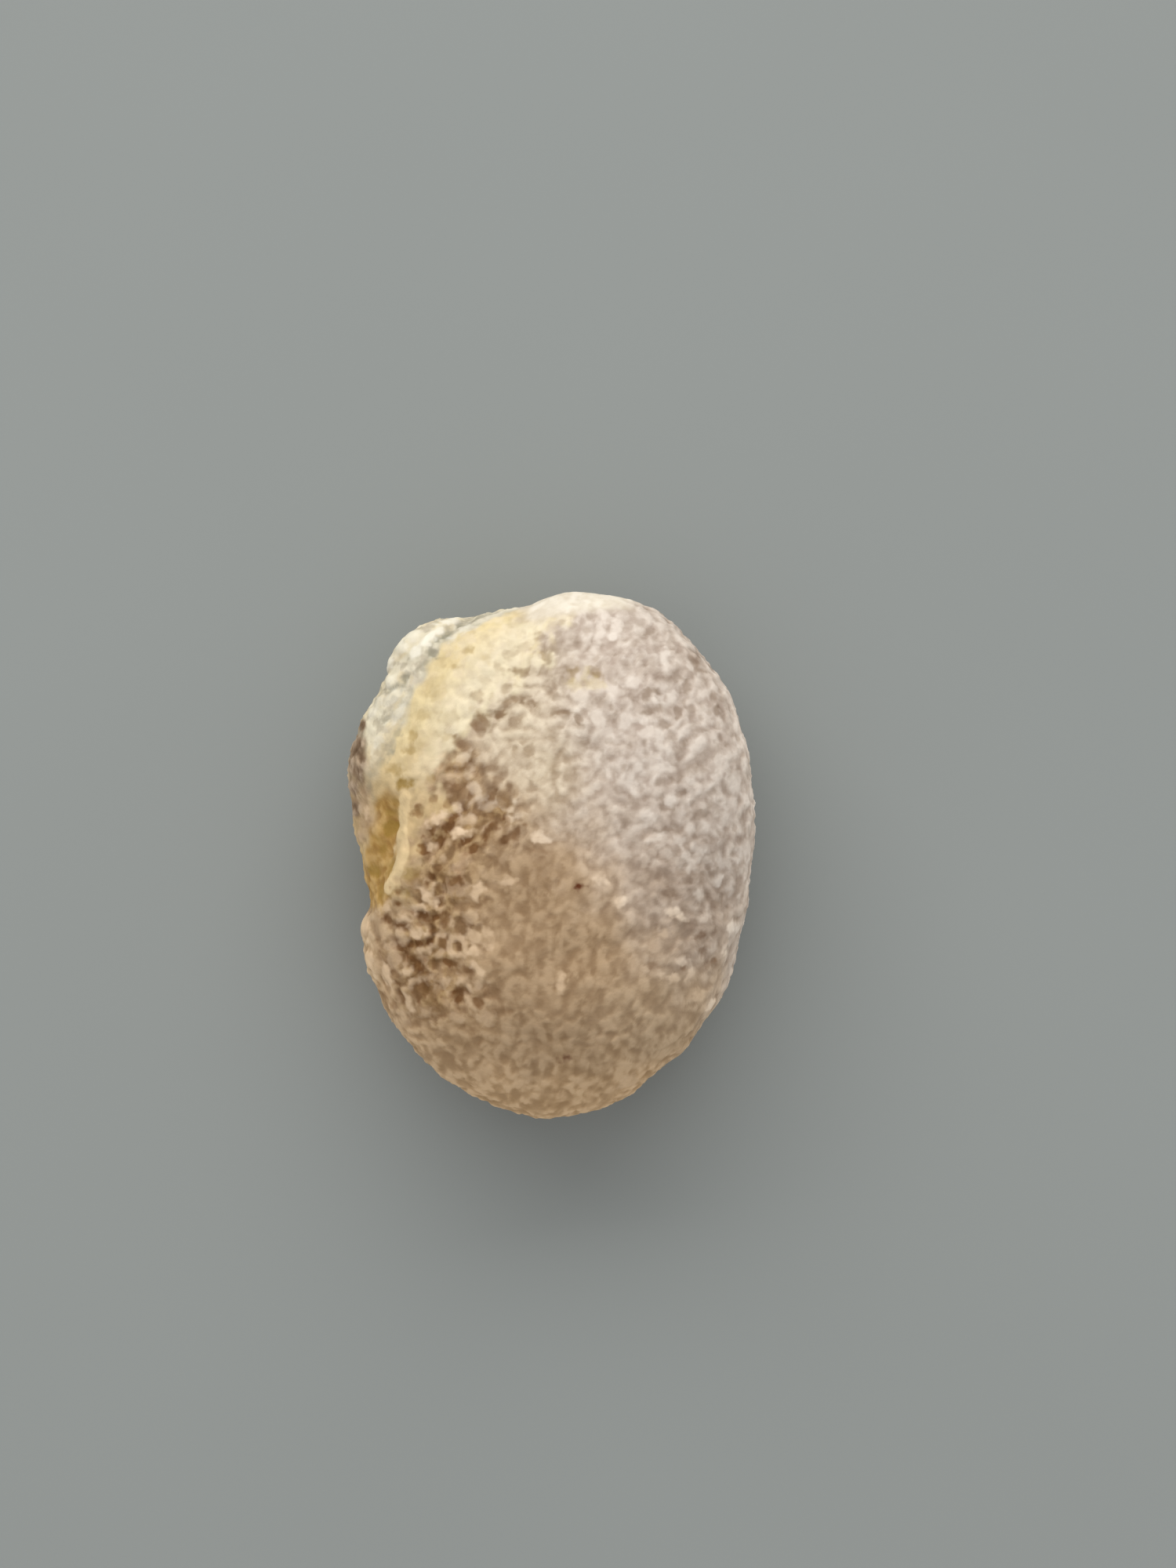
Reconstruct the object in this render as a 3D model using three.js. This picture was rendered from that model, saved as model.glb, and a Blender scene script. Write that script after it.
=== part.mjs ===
// A rough agate pebble, as it lies on a table: one solid stone with a layered rind along its left side.
// Millimetres, +Z up, +Y along the stone, and the origin on the table under the middle of the stone.
import * as THREE from 'three';
import { ImprovedNoise } from 'three/addons/math/ImprovedNoise.js';
import { mergeVertices } from 'three/addons/utils/BufferGeometryUtils.js';

// Driving dimensions
const LENGTH = 25;
const WIDTH = 19.3;
const HEIGHT = 10.4;
const WAIST_HEIGHT = 0.45 * HEIGHT;

// The dome over the waist, and the belly under it, which the worn resting flat cuts short.
const DOME_RISE = HEIGHT - WAIST_HEIGHT;
const BELLY_DROP = 1.09 * WAIST_HEIGHT;
const DOME_SQUARENESS = 2.2;
const BELLY_SQUARENESS = 2.2;
const DOME_LEAN = [0.7, -1.1];
const BELLY_LEAN = [0.4, -0.3];

// The outline from above at the waist, as x and y, going round from the right.
const OUTLINE = [
  [9.6, 1.2], [9.55, 4.25], [9.1, 6.6], [8.05, 8.85], [6.35, 10.8], [4.15, 12.25], [2.2, 12.6],
  [0.2, 12.65], [-1.2, 12.1], [-3.1, 11.85], [-5.15, 11.6], [-6.65, 10.75], [-7.4, 9.4], [-8.1, 8.05],
  [-8.9, 6.45], [-9.5, 5], [-9.2, 2.8], [-9.2, 0.8], [-9, -1.2], [-8.8, -2.2], [-8.85, -3.2], [-8.6, -4.8],
  [-8.1, -6.3], [-7.25, -8.2], [-5.7, -10.05], [-3.5, -11.6], [-1.2, -12.35], [0.8, -12.45],
  [2.8, -11.85], [4.9, -10.5], [6.75, -8.9], [8.1, -6.9], [8.7, -4.75], [9.25, -2.2],
];
const OUTLINE_SAMPLES = 720;

// The rind lies in flat layers across the stone: `depth` is measured along this direction from the waist,
// and each layer shows over a stretch of the rind, `reach` either side of `along`.
const RIND_DIRECTION = new THREE.Vector3(-0.905, 0.41, -0.12).normalize();
const RIND_ALONG = new THREE.Vector3(0.41, 0.905, 0).normalize();
const RIND_LAYERS = [
  { depth: 7.2, halfWidth: 0.9, height: 0.16, along: 6, reach: 4 }, // cream layer, a soft roll
  { depth: 8.5, halfWidth: 0.5, height: -0.22, along: 4.5, reach: 6.5 }, // grey seam
  { depth: 9.8, halfWidth: 0.8, height: 0.2, along: 5, reach: 5 }, // hard white rim
  { depth: 7.0, halfWidth: 0.6, height: -0.34, along: -2.2, reach: 3 }, // soft ochre layer, worn back
];

// A hard vein stands up along the ochre layer.
const VEIN_PATH = [[-6.2, 4.3, 8.6], [-6.6, 1.9, 8.3], [-6.9, -0.2, 8.4], [-7.3, -1.4, 8.1]];
const VEIN = { halfWidth: 0.42, height: 0.24 };

// Lumps and hollows of the skin: where, how far each spreads, and its height.
const LUMPS = [
  { at: [-9.0, 5.0, 4.0], spread: 1.2, height: 0.34 }, // brown knob low on the left
  { at: [-9.3, 3.1, 3.9], spread: 1.3, height: 0.42 },
  { at: [-9.1, 1.5, 4.3], spread: 0.9, height: 0.26 },
  { at: [-4.9, 11.1, 5.6], spread: 0.8, height: 0.12 }, // beads along the white rim
  { at: [-6.0, 10.8, 5.5], spread: 0.8, height: 0.2 },
  { at: [-7.2, 9.9, 5.3], spread: 0.9, height: 0.32 },
  { at: [-7.8, 8.2, 5.7], spread: 0.7, height: 0.28 },
  { at: [-8.6, 6.8, 5.3], spread: 0.8, height: 0.3 },
  { at: [-8.8, -3.3, 4.9], spread: 0.8, height: 0.24 }, // lip below the ochre layer
  { at: [-8.6, -5.0, 4.9], spread: 0.9, height: 0.18 },
  { at: [1.4, 12.0, 6.3], spread: 2.4, height: 0.2 }, // smooth cap at the far end
  { at: [5.4, 3.4, 9.5], spread: 3.0, height: 0.12 }, // swells and hollows of the dome
  { at: [2.2, -7.6, 9.2], spread: 3.4, height: 0.14 },
  { at: [-5.3, -4.0, 9.1], spread: 2.0, height: -0.3 },
  { at: [-3.8, 1.2, 9.8], spread: 1.5, height: -0.14 },
  { at: [-2.6, 6.6, 9.4], spread: 1.5, height: -0.16 },
  { at: [7.4, -7.2, 6.4], spread: 2.8, height: -0.18 },
  { at: [7.2, 5.6, 1.9], spread: 3.2, height: -0.4 }, // underside
  { at: [-3.0, -9.4, 1.8], spread: 3.4, height: -0.34 },
  { at: [6.6, -4.4, 1.4], spread: 2.8, height: 0.26 },
  { at: [-3.4, 9.0, 1.7], spread: 2.6, height: -0.28 },
  { at: [-7.0, -2.0, 1.7], spread: 2.6, height: 0.2 },
];

// Weathering, from broad swells down to the coarsest pits.
const WEATHERING = [
  { wavelength: 5.2, height: 0.26 },
  { wavelength: 2.3, height: 0.16 },
  { wavelength: 1.2, height: 0.09 },
];
const NOISE_ORIGIN = new THREE.Vector3(31.4, 17.2, 8.6);

const SPHERE_DETAIL = 20;

// Distance from the middle to the outline for any direction in plan.
function makeOutlineReach() {
  const curve = new THREE.CatmullRomCurve3(
    OUTLINE.map(([x, y]) => new THREE.Vector3(x, y, 0)), true, 'centripetal');
  const samples = curve.getPoints(OUTLINE_SAMPLES)
    .map((p) => ({ azimuth: Math.atan2(p.y, p.x), reach: Math.hypot(p.x, p.y) }))
    .sort((a, b) => a.azimuth - b.azimuth);
  const first = samples[0];
  const last = samples[samples.length - 1];
  samples.unshift({ azimuth: last.azimuth - 2 * Math.PI, reach: last.reach });
  samples.push({ azimuth: first.azimuth + 2 * Math.PI, reach: first.reach });
  return (azimuth) => {
    const next = samples.findIndex((s) => s.azimuth > azimuth);
    const a = samples[next - 1];
    const b = samples[next];
    const share = (azimuth - a.azimuth) / (b.azimuth - a.azimuth);
    return THREE.MathUtils.lerp(a.reach, b.reach, share);
  };
}

const outlineReach = makeOutlineReach();

// The smooth form of the stone in one direction: its outline, carried up over the dome or down round the belly.
function bodyPoint(direction) {
  const above = direction.z >= 0;
  const squareness = above ? DOME_SQUARENESS : BELLY_SQUARENESS;
  const lean = above ? DOME_LEAN : BELLY_LEAN;
  const rise = above ? DOME_RISE : BELLY_DROP;
  const across = Math.hypot(direction.x, direction.y);
  const up = Math.abs(direction.z);
  const size = (across ** squareness + up ** squareness) ** (-1 / squareness);
  const azimuth = Math.atan2(direction.y, direction.x);
  const reach = outlineReach(azimuth) * size * across;
  return new THREE.Vector3(
    reach * Math.cos(azimuth) + lean[0] * up * up,
    reach * Math.sin(azimuth) + lean[1] * up * up,
    WAIST_HEIGHT + Math.sign(direction.z) * rise * size * up);
}

// A smooth bump: 1 at its middle, falling away over one width.
function bump(distance, width) {
  return Math.exp(-((distance / width) ** 2));
}

function rindRelief(point) {
  const fromWaist = point.clone().setZ(point.z - WAIST_HEIGHT);
  const depth = fromWaist.dot(RIND_DIRECTION);
  const along = fromWaist.dot(RIND_ALONG);
  return RIND_LAYERS.reduce((sum, layer) => sum + layer.height
    * bump(depth - layer.depth, layer.halfWidth) * bump(along - layer.along, layer.reach), 0);
}

const veinPoints = VEIN_PATH.map((p) => new THREE.Vector3(...p));
const veinRuns = veinPoints.slice(1).map((end, i) => new THREE.Line3(veinPoints[i], end));

function veinRelief(point) {
  const distances = veinRuns.map((run) => run.closestPointToPoint(point, true, new THREE.Vector3())
    .distanceTo(point));
  return VEIN.height * bump(Math.min(...distances), VEIN.halfWidth);
}

function lumpRelief(point) {
  return LUMPS.reduce((sum, { at, spread, height }) => {
    const distance = point.distanceTo(new THREE.Vector3(...at));
    return sum + height * bump(distance, spread);
  }, 0);
}

const noise = new ImprovedNoise();

function weatheredRelief(point) {
  return WEATHERING.reduce((sum, { wavelength, height }) => {
    const q = point.clone().divideScalar(wavelength).add(NOISE_ORIGIN);
    return sum + height * noise.noise(q.x, q.y, q.z);
  }, 0);
}

// Moves every vertex by a function of its position, given as a vector.
function moveVertices(geometry, move) {
  const position = geometry.getAttribute('position');
  const point = new THREE.Vector3();
  for (let i = 0; i < position.count; i += 1) {
    point.fromBufferAttribute(position, i);
    const moved = move(point, i);
    position.setXYZ(i, moved.x, moved.y, moved.z);
  }
}

// Brings the stone to its driving dimensions, centred over the origin, and wears it flat where it lies.
function settleOnTable(geometry) {
  geometry.computeBoundingBox();
  const box = geometry.boundingBox;
  const middle = box.getCenter(new THREE.Vector3());
  const size = box.getSize(new THREE.Vector3());
  moveVertices(geometry, (p) => new THREE.Vector3(
    (p.x - middle.x) * (WIDTH / size.x),
    (p.y - middle.y) * (LENGTH / size.y),
    Math.max(p.z * (HEIGHT / box.max.z), 0)));
}

function stoneGeometry() {
  const sphere = new THREE.IcosahedronGeometry(1, SPHERE_DETAIL);
  sphere.deleteAttribute('normal');
  sphere.deleteAttribute('uv');
  const geometry = mergeVertices(sphere);
  moveVertices(geometry, (direction) => bodyPoint(direction.normalize()));
  geometry.computeVertexNormals();
  const normals = geometry.getAttribute('normal').clone();
  moveVertices(geometry, (point, i) => {
    const relief = rindRelief(point) + veinRelief(point) + lumpRelief(point) + weatheredRelief(point);
    return point.clone().addScaledVector(new THREE.Vector3().fromBufferAttribute(normals, i), relief);
  });
  settleOnTable(geometry);
  geometry.computeVertexNormals();
  return geometry;
}

const stoneSkin = new THREE.MeshStandardMaterial({ color: 0xb49c82, roughness: 0.72, metalness: 0 });

const agate = new THREE.Mesh(stoneGeometry(), stoneSkin);
agate.name = 'agate';

const part = new THREE.Group();
part.add(agate);

export default part;
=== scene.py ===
"""A rough agate pebble seen from above: its pitted skin, its layered rind, and a plain studio around it.

Lengths are worked out in millimetres and go to Blender in metres. +Z is up and +Y runs along the stone.
"""

from __future__ import annotations

import logging
import math
from dataclasses import dataclass, field
from enum import Enum
from typing import Any, Iterable

import bmesh
import bpy
import numpy as np
from mathutils import Matrix, Vector, noise
from mathutils.bvhtree import BVHTree
from mathutils.kdtree import KDTree

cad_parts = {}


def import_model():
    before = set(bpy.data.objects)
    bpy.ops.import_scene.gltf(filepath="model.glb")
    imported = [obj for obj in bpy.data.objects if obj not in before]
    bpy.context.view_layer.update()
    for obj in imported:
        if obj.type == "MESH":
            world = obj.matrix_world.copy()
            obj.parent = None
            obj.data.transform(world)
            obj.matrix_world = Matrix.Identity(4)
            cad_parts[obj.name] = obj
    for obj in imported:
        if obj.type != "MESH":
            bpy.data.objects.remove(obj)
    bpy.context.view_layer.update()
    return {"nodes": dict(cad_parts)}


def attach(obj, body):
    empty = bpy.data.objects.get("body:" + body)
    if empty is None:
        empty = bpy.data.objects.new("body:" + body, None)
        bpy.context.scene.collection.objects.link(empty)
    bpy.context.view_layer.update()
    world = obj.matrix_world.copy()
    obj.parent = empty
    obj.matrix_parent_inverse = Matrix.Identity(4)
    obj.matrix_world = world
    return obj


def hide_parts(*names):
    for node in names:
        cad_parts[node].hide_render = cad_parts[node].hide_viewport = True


log = logging.getLogger("agate")

MM = 0.001

Colour = tuple[float, float, float]
Place = tuple[float, float, float]
Pair = tuple[float, float]

NOISE_SPREAD = 0.42  # how far the built-in noise mostly strays from zero
EDGE = 0.34  # how wide the soft edge of a spot or mark is, in millimetres
MARK_REACH = 1.1  # how far a mark can reach, in lengths of its longer side
MARK_DROP = 0.6  # how far down a steep flank it reaches, in the same lengths
MARK_FADE = 0.8  # where it fades out, as a share of its reach


def put(name: str, data: Any) -> bpy.types.Object:
    """Makes an object and links it into the scene.

    Args:
        name: the object's name.
        data: its mesh, light or camera.

    Returns:
        The object.
    """
    thing = bpy.data.objects.new(name, data)
    bpy.context.scene.collection.objects.link(thing)
    return thing


# Shader expressions


class Wire:
    """A shader socket that carries a number: arithmetic on it adds Math nodes."""

    def __init__(self, sheet: ShaderSheet, socket: bpy.types.NodeSocket) -> None:
        """Wraps an output socket of a node on the sheet."""
        self.sheet = sheet
        self.socket = socket

    def _math(self, operation: str, first: Wire | float, second: Wire | float) -> Wire:
        """Adds one Math node."""
        return self.sheet.add("ShaderNodeMath", {"operation": operation}, {0: first, 1: second})

    def __add__(self, other: Wire | float) -> Wire:
        """Adds a number or a socket."""
        return self._math("ADD", self, other)

    __radd__ = __add__

    def __sub__(self, other: Wire | float) -> Wire:
        """Takes a number or a socket away."""
        return self._math("SUBTRACT", self, other)

    def __rsub__(self, other: Wire | float) -> Wire:
        """Is taken away from a number."""
        return self._math("SUBTRACT", other, self)

    def __mul__(self, other: Wire | float) -> Wire:
        """Multiplies by a number or a socket."""
        return self._math("MULTIPLY", self, other)

    __rmul__ = __mul__


class ShaderSheet:
    """The node tree of one material, with its Principled shader."""

    def __init__(self, name: str) -> None:
        """Makes an empty material.

        Args:
            name: the material's name.
        """
        self.material = bpy.data.materials.new(name)
        self.material.use_nodes = True
        self.tree = self.material.node_tree
        self.shader = self.tree.nodes["Principled BSDF"]

    def add(
        self,
        node_type: str,
        settings: dict[str, Any] | None = None,
        inputs: dict[int | str, Any] | None = None,
        output: int | str = 0,
    ) -> Wire:
        """Adds a node: first its settings, then the values or links of its sockets.

        Args:
            node_type: the node's type name.
            settings: attributes of the node; "stops" holds a ramp's positions and colours.
            inputs: a value, or a Wire to link, for each socket by index or name.
            output: the output socket to give back.

        Returns:
            The chosen output.
        """
        node = self.tree.nodes.new(node_type)
        for key, value in (settings or {}).items():
            if key == "stops":
                self._set_stops(node.color_ramp, value)
            else:
                setattr(node, key, value)
        for key, value in (inputs or {}).items():
            self.feed(node.inputs[key], value)
        return Wire(self, node.outputs[output])

    def _set_stops(self, ramp: bpy.types.ColorRamp, stops: list[tuple[float, Colour]]) -> None:
        """Sets a colour ramp's stops.

        Args:
            ramp: the ramp, with its two first stops.
            stops: positions, rising, and colours.
        """
        while len(ramp.elements) < len(stops):
            ramp.elements.new(1.0)
        for element, (position, colour) in zip(ramp.elements, stops):
            element.position = position
            element.color = (*colour, 1.0)

    def feed(self, socket: bpy.types.NodeSocket, value: Any) -> None:
        """Links a Wire to a socket, or sets the socket's own value.

        Args:
            socket: an input socket.
            value: a Wire, a number, a colour or a vector.
        """
        if isinstance(value, Wire):
            self.tree.links.new(value.socket, socket)
        elif isinstance(value, tuple) and socket.type == "RGBA":
            socket.default_value = (*value, 1.0)
        else:
            socket.default_value = value

    def skin(self, name: str, value: Any) -> None:
        """Feeds one socket of the Principled shader."""
        self.feed(self.shader.inputs[name], value)

    def measure(self, name: str) -> Wire:
        """Reads a number that the mesh carries at each point."""
        return self.add("ShaderNodeAttribute", {"attribute_name": name}, output="Fac")

    def step(self, value: Wire, low: float, high: float) -> Wire:
        """Turns a value into a soft mask, 0 at low and 1 at high."""
        return self.add(
            "ShaderNodeMapRange",
            {"interpolation_type": "SMOOTHSTEP"},
            {"Value": value, "From Min": low, "From Max": high},
        )

    def blend(
        self, mask: Wire | float, first: Wire | Colour, second: Wire | Colour, mode: str = "MIX"
    ) -> Wire:
        """Mixes two colours: a mask of 0 gives the first, and 1 the second laid on in the given mode."""
        settings = {"data_type": "RGBA", "blend_type": mode}
        return self.add("ShaderNodeMix", settings, {0: mask, 6: first, 7: second}, output=2)

    def tint(self, colour: Wire | Colour, value: Wire) -> Wire:
        """Multiplies each channel of a colour by a value."""
        return self.add("ShaderNodeVectorMath", {"operation": "SCALE"}, {0: colour, "Scale": value})

    def cloud(self, size_mm: float, detail: float, place: Place = (0.0, 0.0, 0.0)) -> Wire:
        """Adds a solid noise, which runs through the stone.

        Args:
            size_mm: the size of its coarsest lumps.
            detail: how many finer octaves it has.
            place: shifts the pattern, in millimetres.

        Returns:
            The noise, from 0 to 1.
        """
        spot = self.add("ShaderNodeTexCoord", output="Object")
        moved = self.add(
            "ShaderNodeVectorMath", {"operation": "ADD"}, {0: spot, 1: tuple(v * MM for v in place)}
        )
        return self.add(
            "ShaderNodeTexNoise", {}, {"Vector": moved, "Scale": 1 / (size_mm * MM), "Detail": detail}
        )


def srgb(red: int, green: int, blue: int) -> Colour:
    """Turns a colour, given as 0 to 255, into linear light."""
    parts = [value / 255 for value in (red, green, blue)]
    return tuple(p / 12.92 if p <= 0.04045 else ((p + 0.055) / 1.055) ** 2.4 for p in parts)


# Fields over the stone, as arrays with one number for each point of its skin


def solid_noise(points: np.ndarray, size: float, seed: float) -> np.ndarray:
    """Smooth noise in space, mostly within 1 of zero; the seed moves its lattice."""
    values = (noise.noise(spot) for spot in (points / size + seed).tolist())
    return np.fromiter(values, float, len(points)) / NOISE_SPREAD


def soft_step(values: np.ndarray, low: float, high: float) -> np.ndarray:
    """A mask that rises smoothly from 0 at low to 1 at high."""
    share = np.clip((values - low) / (high - low), 0, 1)
    return share * share * (3 - 2 * share)


def patch(points: np.ndarray, places: Iterable[Place]) -> np.ndarray:
    """A mask made of soft round patches, as seen from above.

    Args:
        points: places in millimetres.
        places: the middle and the spread of each patch.

    Returns:
        The mask, from 0 to 1.
    """
    bare = np.ones(len(points))
    for x, y, spread in places:
        apart = np.hypot(points[:, 0] - x, points[:, 1] - y) / spread
        bare *= 1 - np.exp(-(apart**2))
    return 1 - bare


def along_path(points: np.ndarray, path: list[Pair]) -> np.ndarray:
    """The distance to a line of straight runs, as seen from above.

    Args:
        points: places in millimetres.
        path: the line's corners.

    Returns:
        The distance of each point, in millimetres.
    """
    plan = points[:, :2]
    nearest = np.full(len(points), np.inf)
    for start, end in zip(np.array(path[:-1]), np.array(path[1:])):
        run = end - start
        share = np.clip((plan - start) @ run / (run @ run), 0, 1)
        nearest = np.minimum(nearest, np.linalg.norm(plan - start - share[:, None] * run, axis=1))
    return nearest


def read_all(items: Any, name: str, width: int, kind: type = np.float32) -> np.ndarray:
    """Reads one property of every item of a mesh's list.

    Args:
        items: the list.
        name: the property.
        width: how many numbers it has.
        kind: their type.

    Returns:
        The numbers in one row.
    """
    values = np.empty(len(items) * width, kind)
    items.foreach_get(name, values)
    return values


class Skin:
    """The points of the stone's skin, in millimetres, with the way that each one faces.

    It gathers the masks by name, how fully marks cover each point, and how far each point stands up.
    """

    NOISES: tuple[Pair, ...] = ((1.7, 3.1), (0.7, 9.4), (0.34, 71.3))  # sizes and seeds, broad to fine
    FIRST_BEND_SEED: float = 11.3
    NEXT_BEND_SEED: float = 12.6
    UPPER_SIDE: float = 0.05

    def __init__(self, mesh: bpy.types.Mesh, bends: tuple[Pair, ...], waist: float, flatten: float) -> None:
        """Reads the skin from a mesh, and makes a bent copy of its space for ragged shapes.

        Args:
            mesh: the mesh, in metres.
            bends: the size of each bend, and how far it moves a point.
            waist: the height of the stone's widest line.
            flatten: how far heights over the waist shrink in the bent space, so that spots there look
                round from above.
        """
        count = len(mesh.vertices)
        self.points = read_all(mesh.vertices, "co", 3).reshape(-1, 3).astype(float) / MM
        self.normals = read_all(mesh.vertex_normals, "vector", 3).reshape(-1, 3).astype(float)
        corners = read_all(mesh.polygons, "vertices", 4, np.int32)
        areas = np.repeat(read_all(mesh.polygons, "area", 1), 4) / 4
        self.areas = np.bincount(corners, areas, count) / MM**2
        self.from_waist = self.points - (0.0, 0.0, waist)
        self.bent = self.from_waist.copy()
        self.bent[:, 2] *= np.where(self.bent[:, 2] > 0, flatten, 1.0)
        for size, shift in bends:
            for axis in range(3):
                seed = self.FIRST_BEND_SEED + self.NEXT_BEND_SEED * axis
                self.bent[:, axis] += shift * solid_noise(self.points, size, seed)
        self.wander, self.ragged, self.frayed = (solid_noise(self.points, *each) for each in self.NOISES)
        self.tree = KDTree(count)
        for index, place in enumerate(self.bent.tolist()):
            self.tree.insert(place, index)
        self.tree.balance()
        self.masks: dict[str, np.ndarray] = {}
        self.marked = np.zeros(count)
        self.relief = np.zeros(count)

    def near(self, middle: np.ndarray, reach: float) -> tuple[np.ndarray, np.ndarray]:
        """Finds the points around a place of the bent space: their numbers and their offsets."""
        hits = self.tree.find_range(middle, reach)
        index = np.fromiter((hit[1] for hit in hits), int, len(hits))
        return index, self.bent[index] - middle

    def top_at(self, x: float, y: float) -> int:
        """Finds the point of the upper side that lies nearest to a place of the plan."""
        apart = np.hypot(self.points[:, 0] - x, self.points[:, 1] - y)
        return int(np.argmin(np.where(self.normals[:, 2] > self.UPPER_SIDE, apart, np.inf)))


@dataclass(frozen=True)
class Scatter:
    """Rounded spots strewn over the whole skin, as grains or as pits. Lengths are in millimetres."""

    spacing: float
    radius: Pair
    stretch: float
    seed: int
    faintest: float = 0.4

    def strew(self, skin: Skin) -> tuple[np.ndarray, np.ndarray]:
        """Strews the spots.

        Args:
            skin: the skin.

        Returns:
            For each point, how far it is inside a spot, which is 0.5 on the spot's edge and 0 far from
            it, and the strength of that spot.
        """
        chance = np.random.default_rng(self.seed)
        whole = skin.areas.sum()
        count = int(whole / self.spacing**2)
        chosen = chance.choice(len(skin.bent), count, p=skin.areas / whole)
        axes = np.cross(skin.normals[chosen], chance.normal(size=(count, 3)))
        axes /= np.linalg.norm(axes, axis=1)[:, None]
        radii = chance.uniform(*self.radius, count)
        stretches = chance.uniform(1.0, self.stretch, count)
        weights = chance.uniform(self.faintest, 1.0, count)
        inside = np.zeros(len(skin.bent))
        strength = np.zeros(len(skin.bent))
        spots = zip(skin.bent[chosen], axes, radii, stretches, weights)
        for middle, axis, radius, stretch, weight in spots:
            index, offsets = skin.near(middle, (radius + EDGE / 2) * stretch)
            along = offsets @ axis
            apart = np.sqrt(np.sum(offsets**2, axis=1) - along**2 + (along / stretch) ** 2)
            depth = 0.5 + (radius - apart) / EDGE
            better = depth > inside[index]
            inside[index[better]] = depth[better]
            strength[index[better]] = weight
        return inside, strength

    def cover(self, skin: Skin) -> np.ndarray:
        """How strongly the spots cover each point, from 0 to 1."""
        inside, strength = self.strew(skin)
        return soft_step(inside, 0.0, 1.0) * strength


@dataclass(frozen=True)
class Grain:
    """The skin's pattern: soft pale spots and hollows over small clouds."""

    spots: Scatter = Scatter(0.42, (0.13, 0.21), 1.8, 5, 0.4)
    hollows: Scatter = Scatter(0.46, (0.12, 0.18), 1.8, 8, 0.3)
    hollow_share: float = 0.9
    cloud_size: float = 0.46
    cloud_share: float = 0.4
    cloud_steepness: float = 1.1
    fine_cloud: Pair = (0.55, 0.5)
    turn: float = 0.9
    turn_axis: Place = (1.0, 2.0, 3.0)

    def field(self, skin: Skin) -> np.ndarray:
        """Works the pattern out.

        Args:
            skin: the skin.

        Returns:
            High on the spots and low in the hollows, with a mean of 0 and a spread of 1.
        """
        turned = skin.bent @ np.array(Matrix.Rotation(self.turn, 3, Vector(self.turn_axis)))
        fine_size, fine_share = self.fine_cloud
        clouds = self.cloud_steepness * solid_noise(turned, self.cloud_size, 5.7)
        clouds = np.tanh(clouds + fine_share * solid_noise(turned, fine_size * self.cloud_size, 8.9))
        spots = self.spots.cover(skin) - self.hollow_share * self.hollows.cover(skin)
        values = spots / spots.std() + self.cloud_share * clouds / clouds.std()
        return (values - values.mean()) / values.std()


# The stone


class MarkKind(Enum):
    """What a mark is: the mask that it adds to, its height in millimetres, and how open it is."""

    PIT = ("pit", -0.07, 0.0)
    FLECK = ("fleck", 0.03, 0.0)
    RING = ("fleck", 0.04, 0.5)
    SPECK = ("speck", -0.03, 0.0)
    GOLD_CELL = ("gold", -0.06, 0.0)
    YELLOW_FLECK = ("yellow", 0.03, 0.0)
    GREY_GROOVE = ("grey", -0.08, 0.0)
    WHITE_STREAK = ("white", 0.05, 0.0)
    WHITE_BEAD = ("white", 0.15, 0.0)
    CRUST_BEAD = ("fleck", 0.12, 0.0)

    def __init__(self, mask: str, height: float, opening: float) -> None:
        """Keeps the values under their names.

        Args:
            mask: the mask that the mark adds to.
            height: its height in millimetres.
            opening: the radius of its hole, as a share of its own.
        """
        self.mask = mask
        self.height = height
        self.opening = opening


@dataclass(frozen=True)
class Mark:
    """One oval mark on the upper side of the stone, sized in millimetres."""

    kind: MarkKind
    x: float
    y: float
    length: float
    width: float
    turn_deg: float = 0.0
    strength: float = 1.0

    def cover(self, skin: Skin) -> tuple[np.ndarray, np.ndarray]:
        """How far the points are inside the mark.

        Args:
            skin: the skin that it is on.

        Returns:
            The numbers of the points that it reaches, and for each the depth inside it, which is 0.5 on
            the mark's edge and 0 far from it.
        """
        longer = max(self.length, self.width)
        reach = MARK_REACH * longer
        index, offsets = skin.near(skin.bent[skin.top_at(self.x, self.y)], reach)
        cos, sin = math.cos(math.radians(self.turn_deg)), math.sin(math.radians(self.turn_deg))
        along = (offsets[:, 0] * cos + offsets[:, 1] * sin) / (self.length / 2)
        across = (offsets[:, 1] * cos - offsets[:, 0] * sin) / (self.width / 2)
        down = offsets[:, 2] / (MARK_DROP * longer)
        apart = np.sqrt(along**2 + across**2 + down**2)
        radius = self.width / 2
        if self.kind.opening:
            band = (1 - self.kind.opening) / 2
            apart = np.abs(apart - self.kind.opening - band) / band
            radius *= band
        fade = soft_step(-np.linalg.norm(offsets, axis=1) / reach, -1.0, -MARK_FADE)
        return index, np.maximum(0.5 + (1 - apart) * radius / EDGE, 0) * fade


def marks(kind: MarkKind, places: Iterable[tuple[float, ...]]) -> list[Mark]:
    """Makes marks of one kind, each from the numbers of a Mark."""
    return [Mark(kind, *place) for place in places]


# Each mark below is x, y, length, width, turn and strength, as Mark holds them. They were placed one by one.

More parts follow.
